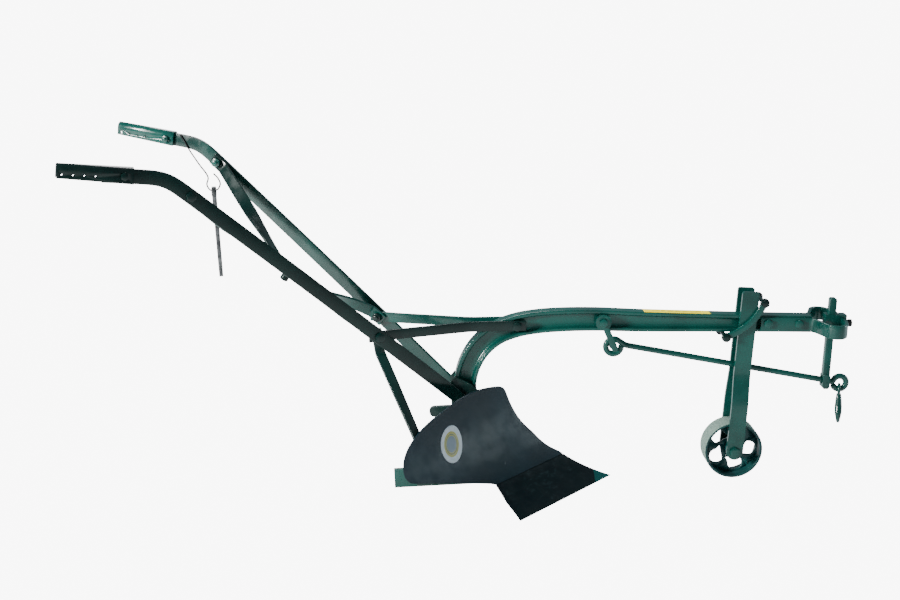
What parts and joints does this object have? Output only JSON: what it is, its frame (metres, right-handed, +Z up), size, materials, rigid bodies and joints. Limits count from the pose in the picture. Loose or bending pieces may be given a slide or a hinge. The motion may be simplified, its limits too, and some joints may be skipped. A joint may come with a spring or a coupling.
{
  "type": "walking plow",
  "caption": "Animal-drawn walking plow: bent steel beam, mouldboard, share and landside, splayed handles, gauge wheel and an adjustable draft hitch.",
  "frame": {"origin": "on the ground, under the middle of the plow's bounding box", "axes": "+X the way the plow travels, +Y to the plowman's left, +Z up"},
  "size_m": [1.6814, 0.6428, 0.85],
  "materials": {
    "green_paint": "gloss dark teal-green enamel",
    "dark_green_paint": "gloss blackish green enamel",
    "board_paint": "gloss blue-green enamel on the soil surfaces",
    "worn_paint": "green enamel worn to pale grey-green on the tread",
    "steel": "dull bare steel"
  },
  "bodies": {
    "frame": {"beam": "green_paint", "landside": "green_paint", "beam_stay_right": "green_paint", "beam_stay_left": "green_paint", "brace_upper": "green_paint", "brace_lower": "green_paint", "mouldboard_stay": "green_paint", "clamp_bow_right": "green_paint", "clamp_bow_left": "green_paint", "hake": "green_paint", "grip_right": "green_paint", "grip_left": "green_paint", "frog": "dark_green_paint", "handle_right": "dark_green_paint", "handle_left": "dark_green_paint", "foot_bolt": "dark_green_paint", "leg_bolt": "dark_green_paint", "mid_bolt_right": "dark_green_paint", "upper_bolt_right": "dark_green_paint", "grip_bolt_right": "dark_green_paint", "mid_bolt_left": "dark_green_paint", "upper_bolt_left": "dark_green_paint", "grip_bolt_left": "dark_green_paint", "beam_stay_bolt": "dark_green_paint", "drop_link_bolt": "dark_green_paint", "clamp_bolt_upper": "dark_green_paint", "clamp_bolt_lower": "dark_green_paint", "hake_bolt_1": "dark_green_paint", "hake_bolt_2": "dark_green_paint", "brace_bolt": "dark_green_paint", "share_bolt_inner": "dark_green_paint", "share_bolt_outer": "dark_green_paint", "board_bolt_inner": "dark_green_paint", "board_bolt_outer": "dark_green_paint", "board_stay_bolt": "dark_green_paint", "landside_bolt_1": "dark_green_paint", "landside_bolt_2": "dark_green_paint", "share": "board_paint", "mouldboard": "board_paint", "tie_wire": "steel"},
    "wheel_fork": {"wheel_arm_right": "green_paint", "wheel_arm_left": "green_paint", "axle_bolt": "dark_green_paint"},
    "wheel": {"wheel": "worn_paint"},
    "hitch_slider": {"hitch_slider": "green_paint"},
    "regulator": {"regulator_bar": "green_paint"},
    "set_screw": {"set_screw": "steel"},
    "drop_link": {"drop_link": "green_paint"},
    "draft_rod": {"draft_rod": "green_paint"},
    "draft_hook": {"draft_hook": "dark_green_paint"},
    "spanner": {"spanner": "steel"}
  },
  "joints": [
    {"name": "wheel_height", "type": "slide", "parent": "frame", "child": "wheel_fork", "axis": [0.0924, 0, 0.9957], "range_m": [-0.03, 0.04]},
    {"name": "wheel_spin", "type": "hinge", "parent": "wheel_fork", "child": "wheel", "pos_m": [0.56755, 0, 0.067], "axis": [0, 1, 0], "continuous": true},
    {"name": "hitch_offset", "type": "slide", "parent": "frame", "child": "hitch_slider", "axis": [0, 1, 0], "range_m": [-0.015, 0.015]},
    {"name": "regulator_height", "type": "slide", "parent": "hitch_slider", "child": "regulator", "axis": [0.0628, 0, 0.998], "range_m": [-0.012, 0.02]},
    {"name": "set_screw_turn", "type": "hinge", "parent": "hitch_slider", "child": "set_screw", "pos_m": [0.83181, 0, 0.35457], "axis": [0.998, 0, -0.0628], "range_deg": [-180, 180]},
    {"name": "drop_link_swing", "type": "hinge", "parent": "frame", "child": "drop_link", "pos_m": [0.26855, 0, 0.39], "axis": [0, 1, 0], "range_deg": [-2.5, 2.5]},
    {"name": "draft_rod_swing", "type": "hinge", "parent": "drop_link", "child": "draft_rod", "pos_m": [0.29355, 0, 0.326], "axis": [0, 0, 1], "range_deg": [-1.9, 1.9]},
    {"name": "hook_swing", "type": "hinge", "parent": "draft_rod", "child": "draft_hook", "pos_m": [0.81755, 0, 0.2115], "axis": [0, 1, 0], "range_deg": [-80, 20]},
    {"name": "spanner_swing", "type": "hinge", "parent": "frame", "child": "spanner", "pos_m": [-0.61045, 0.205, 0.692], "axis": [1, 0, 0], "range_deg": [-35, 35]}
  ],
  "couplings": [
    {"joint": "drop_link_swing", "follows": "regulator_height", "rad_per_m": -1.836},
    {"joint": "draft_rod_swing", "follows": "hitch_offset", "rad_per_m": 2.049}
  ]
}
